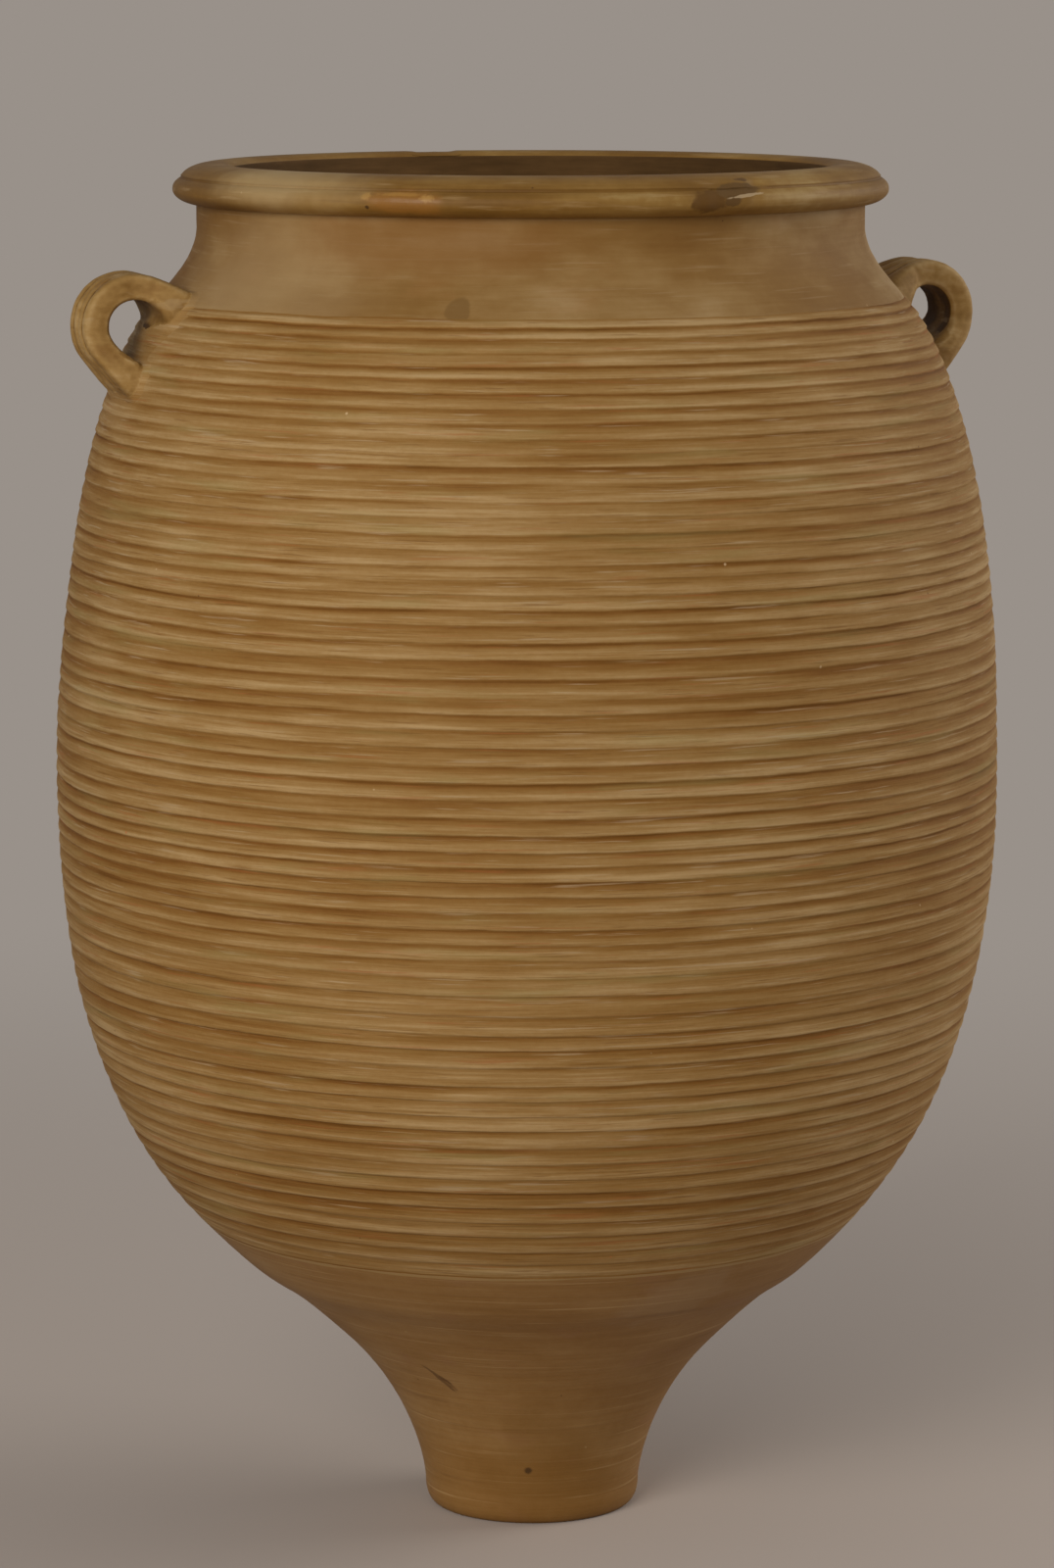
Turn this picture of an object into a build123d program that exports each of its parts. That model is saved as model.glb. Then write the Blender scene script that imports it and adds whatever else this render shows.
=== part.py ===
from build123d import *
import os

# A clay storage jar built up from luted sections. Millimetres, +Z up, the origin at the
# middle of the base, the two lugs on the X axis.

# ---- driving dimensions ----
jar_height = 1000.0
wall_thickness = 18.0

base_radius = 72.0  # flat cut base that the jar stands on
stem_radius = 80.0
stem_height = 15.0
well_radius = 40.0  # floor of the hollow foot
well_height = 50.0
foot_share = 0.32  # part of the smooth lower wall that belongs to the foot

funnel_turn = (140.0, 133.0)  # radius and height where the funnel stops opening faster
band_bottom = (247.0, 228.0)  # and where the grooves start
belly_turn = (346.3, 560.0)  # the widest place
band_top = (272.0, 903.0)  # where the grooves stop, under the neck
neck_waist = (243.0, 955.0)

# how far the outline holds its way before and after each of those places
stem_pull = 10.0
funnel_pull = (75.0, 100.0)
bottom_pull = (95.0, 135.0)
belly_pull = (90.0, 80.0)
top_pull = (90.0, 20.0)
waist_pull = 20.0

ring_count = 3
ridges_per_ring = 7
groove_depth = 2.2
crest_place = 0.07  # the crest lies low on each ridge, over a short steep underside
crowding = 0.19  # how much closer the grooves lie at the neck, and wider at the bottom
seam_rise = 8.0  # the bevel of a seam rises this much from outside to inside

throat_radius = 217.0
throat_height = 946.0  # where the straight throat starts
rim_bottom = 971.0
nose_start = 247.0  # radius where the rim's rolled nose leaves its flat underside
nose_tip = (260.0, 981.0)
nose_end = (255.0, 989.5)
line_bottom = (252.6, 990.4)  # the line cut round the rim above its nose
line_top = (253.6, 992.2)
seat_radius = 229.0  # middle of the flat top of the rim
seat_width = 6.0
mouth_bevel = 3.5

lug_reach = 300.0  # axis of the lug's ring, from the jar's axis
lug_height = 888.0
lug_radius = 38.0
strap_thickness = 18.0
strap_width = 50.0
strap_ribs = 4
rib_depth = 2.5
strap_bevel = 4.0
upper_turn = 55.0  # bend of the strap, degrees from the ring's top in to the neck
lower_turn = 135.0  # and out and down to the shoulder
upper_arm = 12.0  # straight ends that run on into the wall
lower_arm = 36.0
root_spread = 1.5  # how much wider the strap is where it is thumbed on

# ---- the outline of the wall, as radius and height ----
upward = Vector(0, 1)
stem_way = Vector(0.02, 1).normalized()
funnel_way = Vector(0.72, 0.71).normalized()
opening_way = Vector(0.68, 0.73).normalized()
closing_way = Vector(-0.68, 0.73).normalized()


def bend(start, way_out, pull_out, end, way_in, pull_in):
    # one easy curve that leaves and arrives along these ways
    first = Vector(start)
    last = Vector(end)
    return Bezier(first, first + way_out * pull_out, last - way_in * pull_in, last)


stem_top = (stem_radius, stem_height)
lower_line = Wire(
    [
        bend(stem_top, stem_way, stem_pull, funnel_turn, funnel_way, funnel_pull[0]),
        bend(funnel_turn, funnel_way, funnel_pull[1], band_bottom, opening_way, bottom_pull[0]),
    ]
)
belly_line = Wire(
    [
        bend(band_bottom, opening_way, bottom_pull[1], belly_turn, upward, belly_pull[0]),
        bend(belly_turn, upward, belly_pull[1], band_top, closing_way, top_pull[0]),
    ]
)
neck_line = bend(band_top, closing_way, top_pull[1], neck_waist, upward, waist_pull)


def flats(line, count, start=0.0, end=1.0):
    # a stretch of a curve worked in a number of short flats, as a profile rib leaves it
    return [line @ (start + (end - start) * step / count) for step in range(count + 1)]


def beside(line, share, depth, rise=0.0):
    # a point this deep in from the outline, square to it, and this far up along it
    along = line % share
    inward = Vector(-along.Y, along.X)
    return line @ share + inward * depth + along * rise


def inner_point(line, share):
    return beside(line, share, wall_thickness, seam_rise)


def groove(count):
    # where this groove lies along the belly, counted from the lowest
    share = count / (ring_count * ridges_per_ring)
    return share * (1 + crowding * (1 - share))


def draw_ring(ring):
    # section of one grooved ring, seated on bevelled seams that lie in two of the valleys
    first = ring * ridges_per_ring
    last = first + ridges_per_ring
    outside = []
    for count in range(first, last):
        valley = groove(count)
        crest = valley + crest_place * (groove(count + 1) - valley)
        outside.append(beside(belly_line, valley, groove_depth))
        outside.append(belly_line @ crest)
    outside.append(beside(belly_line, groove(last), groove_depth))
    top_inside = inner_point(belly_line, groove(last))
    bottom_inside = inner_point(belly_line, groove(first))
    Polyline(*outside, top_inside, bottom_inside, close=True)


os.makedirs("parts", exist_ok=True)

# ---- foot: flat base, bevelled edge, trumpet outside, hollow above a thick floor ----
foot_inside = inner_point(lower_line, foot_share)
with BuildPart() as foot:
    with BuildSketch(Plane.XZ):
        with BuildLine():
            Polyline(
                (0, 0),
                (base_radius, 0),
                *flats(lower_line, 5, 0.0, foot_share),
                foot_inside,
                (well_radius, well_height),
                (0, well_height),
                close=True,
            )
        make_face()
    revolve(axis=Axis.Z)
foot.part.label = "foot"
export_step(foot.part, "parts/foot.step")

# ---- lower wall: smooth funnel up to the grooves ----
with BuildPart() as lower_wall:
    with BuildSketch(Plane.XZ):
        with BuildLine():
            Polyline(
                *flats(lower_line, 5, foot_share, 1.0),
                beside(belly_line, 0, groove_depth),
                inner_point(belly_line, 0),
                foot_inside,
                close=True,
            )
        make_face()
    revolve(axis=Axis.Z)
lower_wall.part.label = "lower_wall"
export_step(lower_wall.part, "parts/lower_wall.step")

# ---- the three grooved rings of the belly ----
with BuildPart() as belly_lower:
    with BuildSketch(Plane.XZ):
        with BuildLine():
            draw_ring(0)
        make_face()
    revolve(axis=Axis.Z)
belly_lower.part.label = "belly_lower"
export_step(belly_lower.part, "parts/belly_lower.step")

with BuildPart() as belly_middle:
    with BuildSketch(Plane.XZ):
        with BuildLine():
            draw_ring(1)
        make_face()
    revolve(axis=Axis.Z)
belly_middle.part.label = "belly_middle"
export_step(belly_middle.part, "parts/belly_middle.step")

with BuildPart() as belly_upper:
    with BuildSketch(Plane.XZ):
        with BuildLine():
            draw_ring(2)
        make_face()
    revolve(axis=Axis.Z)
belly_upper.part.label = "belly_upper"
export_step(belly_upper.part, "parts/belly_upper.step")

# ---- neck: a short flare that turns upright under the rim ----
collar_top = (neck_waist[0], rim_bottom)
throat_bottom = (throat_radius, throat_height)
throat_seam = (throat_radius, rim_bottom + seam_rise)
with BuildPart() as neck:
    with BuildSketch(Plane.XZ):
        with BuildLine():
            Polyline(
                beside(belly_line, 1, groove_depth),
                *flats(neck_line, 3)[1:],
                collar_top,
                throat_seam,
                throat_bottom,
                inner_point(belly_line, 1),
                close=True,
            )
        make_face()
    revolve(axis=Axis.Z)
neck.part.label = "neck"
export_step(neck.part, "parts/neck.step")

# ---- rim: rolled nose, incised line, domed upper face, flat seat and bevelled mouth ----
nose_curve = ThreePointArc((nose_start, rim_bottom), nose_tip, nose_end)
seat_outer = (seat_radius + seat_width / 2, jar_height)
seat_inner = (seat_radius - seat_width / 2, jar_height)
dome_curve = TangentArc(seat_outer, line_top, tangent=(1, 0))
mouth_edge = (throat_radius, jar_height - mouth_bevel)
with BuildPart() as rim:
    with BuildSketch(Plane.XZ):
        with BuildLine():
            Polyline(
                collar_top,
                *flats(nose_curve, 4),
                line_bottom,
                *reversed(flats(dome_curve, 2)),
                seat_inner,
                mouth_edge,
                throat_seam,
                close=True,
            )
        make_face()
    revolve(axis=Axis.Z)
rim.part.label = "rim"
export_step(rim.part, "parts/rim.step")

# ---- lugs: a ribbed strap bent into a ring, spread and pressed on at both roots ----
strap_middle = lug_radius - strap_thickness / 2
ring_centre = Vector(lug_reach, 0, lug_height)
ring_axis = Axis(ring_centre, (0, 1, 0))


def across_strap(turn, onward=0.0):
    # plane across the strap at this turn from the ring's top, or moved straight on from there
    outward = Vector(0, 0, 1).rotate(Axis.Y, turn)
    along = Vector(1, 0, 0).rotate(Axis.Y, turn)
    middle = ring_centre + outward * strap_middle + along * onward
    return Plane(middle, x_dir=(0, 1, 0), z_dir=along)


def draw_strap(spread=1.0):
    # section of the strap: zigzag ribs along the outside, flat with bevelled edges inside
    half = strap_width / 2 * spread
    rib = 2 * half / strap_ribs
    valley = strap_thickness / 2 - rib_depth
    outside = []
    for count in range(strap_ribs):
        left = -half + count * rib
        outside.append((left, valley))
        outside.append((left + rib / 2, strap_thickness / 2))
    Polyline(
        *outside,
        (half, valley),
        (half, strap_bevel - strap_thickness / 2),
        (half - strap_bevel, -strap_thickness / 2),
        (strap_bevel - half, -strap_thickness / 2),
        (-half, strap_bevel - strap_thickness / 2),
        close=True,
    )


with BuildPart() as right_handle:
    with BuildSketch(across_strap(-upper_turn)):
        with BuildLine():
            draw_strap()
        make_face()
    revolve(axis=ring_axis, revolution_arc=upper_turn + lower_turn)
    with BuildSketch(across_strap(-upper_turn)):
        with BuildLine():
            draw_strap()
        make_face()
    with BuildSketch(across_strap(-upper_turn, -upper_arm)):
        with BuildLine():
            draw_strap(root_spread)
        make_face()
    loft(ruled=True)
    with BuildSketch(across_strap(lower_turn)):
        with BuildLine():
            draw_strap()
        make_face()
    with BuildSketch(across_strap(lower_turn, lower_arm)):
        with BuildLine():
            draw_strap(root_spread)
        make_face()
    loft(ruled=True)
    add(neck.part, mode=Mode.SUBTRACT)
    add(belly_upper.part, mode=Mode.SUBTRACT)
right_handle.part.label = "right_handle"
export_step(right_handle.part, "parts/right_handle.step")

with BuildPart() as left_handle:
    mirror(right_handle.part, about=Plane.YZ)
left_handle.part.label = "left_handle"
export_step(left_handle.part, "parts/left_handle.step")
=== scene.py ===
import math
import random
import bmesh
import bpy
import numpy as np
from mathutils import Matrix, Vector, geometry, noise


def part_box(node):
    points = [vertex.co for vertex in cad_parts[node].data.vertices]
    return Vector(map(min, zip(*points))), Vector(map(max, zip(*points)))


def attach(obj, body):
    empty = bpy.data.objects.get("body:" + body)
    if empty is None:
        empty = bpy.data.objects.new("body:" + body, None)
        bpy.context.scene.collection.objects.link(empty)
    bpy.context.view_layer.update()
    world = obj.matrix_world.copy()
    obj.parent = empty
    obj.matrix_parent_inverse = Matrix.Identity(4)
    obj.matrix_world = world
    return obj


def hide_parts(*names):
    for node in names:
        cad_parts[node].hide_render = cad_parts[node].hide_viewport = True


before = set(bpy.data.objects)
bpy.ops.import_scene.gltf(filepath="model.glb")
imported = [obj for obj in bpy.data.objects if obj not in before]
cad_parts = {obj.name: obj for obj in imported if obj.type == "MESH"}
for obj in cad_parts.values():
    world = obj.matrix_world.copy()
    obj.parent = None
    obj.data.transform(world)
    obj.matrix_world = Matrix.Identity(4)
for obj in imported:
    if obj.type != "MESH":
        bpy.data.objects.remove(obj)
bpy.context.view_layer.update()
print("frame loaded:", ", ".join(sorted(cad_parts)))

mm = 0.001  # sizes below are written in millimetres and turned to metres once

# the view: a long lens a little above the rim, turned towards the left lug
view = {
    "turn": 18,  # degrees from the middle of the front towards -X
    "distance": 3.949,
    "height": 1.1396,
    "tilt": 8.6,  # degrees down from level
    "lens": 124.2,
    "sensor": 36,
    "farthest": 60,
}
toRight = math.radians(-view["turn"])  # direction of the picture's right, round the axis


def makeCamera():
    data = bpy.data.cameras.new("camera")
    data.lens = view["lens"]
    data.sensor_width = view["sensor"]
    data.clip_end = view["farthest"]
    camera = bpy.data.objects.new("camera", data)
    turn = math.radians(view["turn"])
    across = -view["distance"] * math.sin(turn)
    along = -view["distance"] * math.cos(turn)
    camera.location = (across, along, view["height"])
    camera.rotation_euler = (math.radians(90.0 - view["tilt"]), 0.0, -turn)
    bpy.context.scene.collection.objects.link(camera)
    bpy.context.scene.camera = camera


def colour(hexValue):
    # sRGB hex to the linear colour that a shader takes
    parts = [int(hexValue[i:i + 2], 16) / 255 for i in (1, 3, 5)]
    linear = [p / 12.92 if p <= 0.04045 else ((p + 0.055) / 1.055) ** 2.4 for p in parts]
    return (*linear, 1.0)


def addNode(tree, kind, inputs=None, output=0, **settings):
    # one node with its settings and links; an input is a value or another node's output
    node = tree.nodes.new("ShaderNode" + kind)
    for name, value in settings.items():
        setattr(node, name, value)
    for name, value in (inputs or {}).items():
        if isinstance(value, bpy.types.NodeSocket):
            tree.links.new(value, node.inputs[name])
        else:
            node.inputs[name].default_value = value
    return node.outputs[output] if node.outputs else node


def newMaterial(name):
    material = bpy.data.materials.new(name)
    material.use_nodes = True
    material.node_tree.nodes.clear()
    return material, material.node_tree


# what the patterns of all the clays share
clayForm = {
    "detail": 3,
    "grit": 0.55,
    "stray": 1.4,  # how far the edge of a mark wanders, in shares of the mark's size
    "edge": 1.6,  # where that edge lies
    "blur": 0.15,
    "speckCore": 0.6,  # share of a speck that has its full colour
    "speckStrength": 0.75,
    "slipLobe": 70,  # mm from lobe to lobe along the lower edge of the slip
    "slipSeed": 9,
    "slipBlur": 0.7,
    "slipStrength": 0.85,
}


def clayPattern(tree, wide, tall, seed):
    # cloudy marks about this wide and tall in mm; low wide ones are streaks left by a brush
    # or a cloth held against the turning jar
    place = addNode(tree, "TexCoord", output="Object")
    often = (1000 / wide, 1000 / wide, 1000 / tall)
    shift = (seed, seed * 2, seed * 3)
    spot = addNode(tree, "Mapping", {"Vector": place, "Scale": often, "Location": shift})
    grain = {"Detail": clayForm["detail"], "Roughness": clayForm["grit"]}
    return addNode(tree, "TexNoise", {"Vector": spot, "Scale": 1.0, **grain})


def patternSum(tree, patterns):
    total = 0.0
    for wide, tall, seed, weight in patterns:
        inputs = {0: clayPattern(tree, wide, tall, seed), 1: weight, 2: total}
        total = addNode(tree, "Math", inputs, operation="MULTIPLY_ADD")
    return total


def clayTone(tree, look):
    # a sum of patterns and of values that the mesh carries, read off a run of colours
    tone = patternSum(tree, look["patterns"])
    for name, weight in look.get("carried", ()):
        value = addNode(tree, "Attribute", output="Fac", attribute_name=name)
        tone = addNode(tree, "Math", {0: value, 1: weight, 2: tone}, operation="MULTIPLY_ADD")
    low, high = look["span"]
    tone = addNode(tree, "MapRange", {"Value": tone, "From Min": low, "From Max": high})
    skin = addNode(tree, "ValToRGB", {"Fac": tone})
    ramp = skin.node.color_ramp
    while len(ramp.elements) < len(look["tones"]):
        ramp.elements.new(1.0)
    for element, (position, hexValue) in zip(ramp.elements, look["tones"]):
        element.position = position
        element.color = colour(hexValue)
    return skin


def washShare(tree, wide, tall, seed, start, end, strength):
    # how much a thin wash hides: it sets in at one level of its pattern and is full at the next
    pattern = clayPattern(tree, wide, tall, seed)
    inputs = {"Value": pattern, "From Min": start, "From Max": end, "To Max": strength}
    return addNode(tree, "MapRange", inputs, interpolation_type="SMOOTHSTEP")


def speckShare(tree, apart, size, seed):
    # single grains of grit in the clay, so far apart and so wide in mm
    place = addNode(tree, "TexCoord", output="Object")
    often = [1000 / apart] * 3
    spot = addNode(tree, "Mapping", {"Vector": place, "Scale": often, "Location": [seed] * 3})
    near = addNode(tree, "TexVoronoi", {"Vector": spot, "Scale": 1.0}, "Distance")
    edge = size / apart
    inputs = {
        "Value": near,
        "From Min": edge,
        "From Max": edge * clayForm["speckCore"],
        "To Max": clayForm["speckStrength"],
    }
    return addNode(tree, "MapRange", inputs)


def slipShare(tree, edge, waver):
    # the pale slip of the belly ends in soft lobes a little way down on the smooth wall
    place = addNode(tree, "TexCoord", output="Object")
    height = addNode(tree, "SeparateXYZ", {0: place}, "Z")
    pattern = clayPattern(tree, clayForm["slipLobe"], clayForm["slipLobe"], clayForm["slipSeed"])
    inputs = {0: pattern, 1: -waver * mm, 2: height}
    height = addNode(tree, "Math", inputs, operation="MULTIPLY_ADD")
    edge = (edge - waver / 2) * mm
    inputs = {
        "Value": height,
        "From Min": edge,
        "From Max": edge + clayForm["slipBlur"] * mm,
        "To Max": clayForm["slipStrength"],
    }
    return addNode(tree, "MapRange", inputs)


def markShape(tree, turn, at, size, ragged, more):
    # 1 inside a mark on the wall, 0 outside; a mark is written as its turn round the jar in
    # degrees, its radius and height, half its width, height and depth, how coarse its ragged
    # edge is, its colour and strength, and then what else it has
    angle = math.radians(turn)
    radius, height = at
    middle = (radius * math.cos(angle) * mm, radius * math.sin(angle) * mm, height * mm)
    place = addNode(tree, "TexCoord", output="Object")
    lean = (math.radians(more.get("slant", 0.0)), 0.0, angle)
    wide, tall, deep = size
    half = (deep * mm, wide * mm, tall * mm)
    inputs = {"Vector": place, "Location": middle, "Rotation": lean, "Scale": half}
    spot = addNode(tree, "Mapping", inputs, vector_type="TEXTURE")
    far = addNode(tree, "VectorMath", {0: spot}, "Value", operation="LENGTH")
    inputs = {0: clayPattern(tree, ragged, ragged, turn), 1: clayForm["stray"], 2: far}
    far = addNode(tree, "Math", inputs, operation="MULTIPLY_ADD")
    edge = clayForm["edge"]
    soft = more.get("soft", clayForm["blur"])
    inputs = {"Value": far, "From Min": edge + soft, "From Max": edge - soft}
    return addNode(tree, "MapRange", inputs, interpolation_type="SMOOTHSTEP")


def clayMaterial(look):
    # fired earthenware, a dull dielectric: over its own tone lie washes, specks, the edge of
    # the slip and the marks of use, each a colour and how much of it shows
    material, tree = newMaterial(look["name"])
    skin = clayTone(tree, look)
    rough = look["rough"]
    layers = []
    for hexValue, *wash in look.get("washes", ()):
        layers.append((hexValue, washShare(tree, *wash)))
    for hexValue, *speck in look.get("specks", ()):
        layers.append((hexValue, speckShare(tree, *speck)))
    if "slipEdge" in look:
        hexValue, *edge = look["slipEdge"]
        layers.append((hexValue, slipShare(tree, *edge)))
    for turn, at, size, ragged, hexValue, strength, more in look.get("marks", ()):
        shape = markShape(tree, turn, at, size, ragged, more)
        share = addNode(tree, "Math", {0: shape, 1: strength}, operation="MULTIPLY")
        layers.append((hexValue, share))
        if "rough" in more:
            rough = addNode(tree, "Mix", {0: shape, 2: rough, 3: more["rough"]})
    for hexValue, share in layers:
        # on a colour Mix node the inputs 6 and 7 are its two colours, output 2 is the result
        inputs = {0: share, 6: skin, 7: colour(hexValue)}
        skin = addNode(tree, "Mix", inputs, 2, data_type="RGBA")
    height = patternSum(tree, look["relief"])
    bump = addNode(tree, "Bump", {"Strength": 1.0, "Distance": mm, "Height": height})
    inputs = {
        "Base Color": skin,
        "Roughness": rough,
        "IOR": 1.5,
        "Specular IOR Level": 0.25,
        "Normal": bump,
    }
    shader = addNode(tree, "BsdfPrincipled", inputs)
    addNode(tree, "OutputMaterial", {"Surface": shader})
    return material


# the wall's outline from the base up, in mm: point, direction, reach back and on
outline = [
    ((72, 0), (1, 0), 0, 5),
    ((80, 15), (0.02, 1), 8, 10),
    ((140, 133), (0.72, 0.71), 75, 100),
    ((247, 228), (0.68, 0.73), 95, 135),
    ((346.2, 560), (0, 1), 90, 80),
    ((272, 903), (-0.68, 0.73), 90, 20),
    ((243, 955), (0, 1), 20, 5),
    ((243, 971), (0, 1), 5, 0),
]
wall = {
    "thickness": 18,
    "fingers": [(0.7, 11), (0.5, 4.3)],  # depth and spacing of the finger rings inside
    "seamRise": 8,  # the bevel of a seam rises this much from outside to inside
    "footSeam": 98,  # height of the seam between foot and lower wall
    "throat": 217,
    "throatBottom": 946,
    "throatTop": 979,
    "plainStep": 3,  # spacing of the rows on a smooth stretch
    "insideStep": 14,
    "scrape": 0.12,  # depth of the flats that a scraper left
    "flats": [(4, 0.7, 41, 1)],  # their noise, written as the grooves' is
}


def curveThrough(knots, perSpan=160):
    # one smooth chain of points through knots with directions
    chain = []
    for first, second in zip(knots, knots[1:]):
        start = Vector((*first[0], 0.0))
        end = Vector((*second[0], 0.0))
        leave = start + Vector((*first[1], 0.0)).normalized() * first[3]
        arrive = end - Vector((*second[1], 0.0)).normalized() * second[2]
        span = geometry.interpolate_bezier(start, leave, arrive, end, perSpan)
        chain.extend(span[1:] if chain else span)
    return np.array([(p.x, p.y) for p in chain])


class Line:
    # a chain of points that is read by the distance along it
    def __init__(self, chain):
        self.chain = chain
        steps = np.hypot(*np.diff(chain, axis=0).T)
        self.along = np.concatenate([[0.0], np.cumsum(steps)])
        self.length = float(self.along[-1])

    def at(self, distance):
        # radius and height
        return [np.interp(distance, self.along, side) for side in self.chain.T]

    def inward(self, distance):
        # unit direction into the wall, square to the line
        low = self.at(np.asarray(distance) - 1.0)
        high = self.at(np.asarray(distance) + 1.0)
        across = high[0] - low[0]
        up = high[1] - low[1]
        size = np.hypot(across, up)
        return -up / size, across / size

    def where(self, height):
        return float(np.interp(height, self.chain[:, 1], self.along))


wallLine = Line(curveThrough(outline))

# the grooves: cut one after another as the jar turned, none quite like the next
grooves = {
    "count": 61,
    "low": 228,  # height where the slip band starts
    "high": 903,  # the last line, under the neck
    "lowPitch": 14.6,
    "highPitch": 10,
    "crowding": 0.6,  # below 1 the pitch shrinks most near the bottom
    "uneven": 0.16,  # share by which a pitch differs from its neighbours
    # how a line strays up or down on its way round. All such noise is written as its radius,
    # its step from groove to groove, seed and weight
    "strays": [
        (1.3, 0.22, 3, 1.6), (3.5, 1.9, 17, 0.9),
        (11, 5.3, 31, 0.4), (34, 3.7, 83, 0.3),
    ],
    # depth of the rounded wave: its mean, and the share of it that each groove draws
    "wave": 0.86,
    "waveDraw": (0.45, 1.35),
    "waveLimits": (0.25, 1.6),
    "waveSwells": [(2.6, 3.1, 47, 0.6)],
    "waveRipples": [(14, 2.3, 61, 0.25)],
    # and of the line cut along its bottom, which often fails
    "cut": 0.36,
    "cutDraw": (-0.5, 1.2),
    "cutLimits": (0, 1.6),
    "cutRuns": [(4, 4.1, 71, 1.2), (18, 2.9, 97, 0.8)],
    # how brown the clay shows above a valley, and how soon that thins out
    "brownDraw": (0.4, 1.1),
    "brownLimits": (0.1, 1.2),
    "brownRuns": [(3, 2.1, 53, 0.5)],
    "thinDraw": (-0.4, 1.3),
    "runOut": 0.1,  # what is left of the lowest wave, where the band meets the smooth wall
    # level scratches of the tool; their noise has one more step, from row to row of a ridge
    "drag": 0.16,
    "dragMean": 0.4,
    "scratches": [(9, 2.7, 0.9, 29, 1), (30, 3.3, 1.7, 59, 0.6)],
    "crest": 0.2,  # share of the way up a ridge where its crest stands
    "around": 384,  # corners round the jar
    "wedges": 12,
}
ridge = [  # share of the way up from a valley: depth of the wave, depth of the cut line
    (0, 1, 1), (0.05, 0.96, 0.55), (0.1, 0.66, 0), (0.15, 0.2, 0), (0.2, 0, 0),
    (0.3, 0.02, 0), (0.44, 0.16, 0), (0.6, 0.44, 0), (0.76, 0.74, 0), (0.9, 0.94, 0.1),
]
angles = np.arange(grooves["around"]) * 2 * math.pi / grooves["around"]


def aroundNoise(radius, level, seed):
    # smooth noise that closes on itself after one turn; a larger radius has shorter waves
    return np.array([
        noise.noise(Vector((math.cos(a) * radius + seed, math.sin(a) * radius, level)))
        for a in angles
    ])


def addNoise(value, parts, number):
    for radius, step, seed, weight in parts:
        value = value + weight * aroundNoise(radius, number * step, seed)
    return value


def scratches(number, row):
    depth = 0.0
    for radius, step, rowStep, seed, weight in grooves["scratches"]:
        depth = depth + weight * aroundNoise(radius, number * step + row * rowStep, seed)
    return depth


def layGrooves():
    # for each valley: its place along the outline at each angle, and its depth there
    rng = random.Random(11)
    start = wallLine.where(grooves["low"])
    end = wallLine.where(grooves["high"])
    count = grooves["count"]
    share = np.linspace(0, 1, count) ** grooves["crowding"]
    pitches = grooves["lowPitch"] + (grooves["highPitch"] - grooves["lowPitch"]) * share
    pitches *= [1 + grooves["uneven"] * rng.uniform(-1, 1) for _ in range(count)]
    pitches *= (end - start) / pitches.sum()
    places = start + np.concatenate([[0.0], np.cumsum(pitches)])
    lines = []
    waves = []
    cuts = []
    stains = []
    for number, middle in enumerate(places):
        lines.append(middle + addNoise(0.0, grooves["strays"], number))
        wave = rng.uniform(*grooves["waveDraw"]) * addNoise(1, grooves["waveSwells"], number)
        wave = addNoise(wave, grooves["waveRipples"], number)
        waves.append(grooves["wave"] * np.clip(wave, *grooves["waveLimits"]))
        cut = addNoise(rng.uniform(*grooves["cutDraw"]), grooves["cutRuns"], number)
        cuts.append(grooves["cut"] * np.clip(cut, *grooves["cutLimits"]))
        brown = addNoise(rng.uniform(*grooves["brownDraw"]), grooves["brownRuns"], number)
        brown = np.clip(brown, *grooves["brownLimits"])
        stains.append((brown, math.exp(rng.uniform(*grooves["thinDraw"]))))
    waves[0] = waves[0] * grooves["runOut"]
    cuts[0] = cuts[0] * 0.0
    return np.array(lines), np.array(waves), np.array(cuts), stains


valleys, waves, cuts, stains = layGrooves()
print("grooves laid:", grooves["count"])


def valleyAt(node):
    # the valley nearest to where this ring of the wall starts in the frame
    low = wallLine.where(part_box(node)[0][2] / mm)
    return int(np.argmin(np.abs(valleys.mean(axis=1) - low)))


ringEnds = [0, valleyAt("belly_middle"), valleyAt("belly_upper"), grooves["count"]]

# what the making and the use left: the jar leans a little, isn't quite round, and has lumps
made = {
    "heights": (0, 130, 250, 400, 520, 600, 700, 1000),
    "drift": (3.6, 3.4, -1, -1.1, 0, 0, 2.4, 3),  # mm to the picture's right
    "oval": 0.7,
    "rimDip": 2.6,  # the front of the rim lies this much lower than its back
    "dipFrom": 900,  # height where that starts, how soon it is full, the rim's radius
    "dipRise": 100,
    "rimRadius": 262,
    "lump": 0.5,
    "lumpMean": 0.5,
    "lumpSwing": 1.2,
    "lumpSize": 85,
    "flatBase": 1,  # the jar stands flat: no lumps up to here
}
# places where clay is missing: angle in degrees, height, half width and height, depth
losses = [
    (283.7, 985, 22, 10, 1.3),  # broken and filled place on the rim's front
    (290, 994, 5, 4, 2.4),
    (233, 981, 19, 7, 0.5),
    (91.6, 998, 17, 5, 1.6),  # worn place on the far side of the mouth
    (252.5, 43.5, 2.6, 2.6, 1.6),  # pit in the foot
    (305, 3, 9, 3.5, 1.6),
    (225, 2, 6, 3, 1.2),
    (150, 2, 12, 4, 2),
    (20, 988, 9, 5, 1.2),
]
chipping = {
    "reach": 1.6,  # nothing is lost further out than this many times a place's size
    "teeth": 61,  # the ragged edge, as waves round the jar
    "ragged": 0.25,
    "fineTeeth": 143,
    "fineRagged": 0.15,
    "edge": 1.2,
    "slope": 0.5,
    "topLoss": 0.5,  # share by which a loss lowers the rim's top too, above this height
    "topFrom": 990,
}


def drift(height):
    return np.interp(height, made["heights"], made["drift"])


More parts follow.
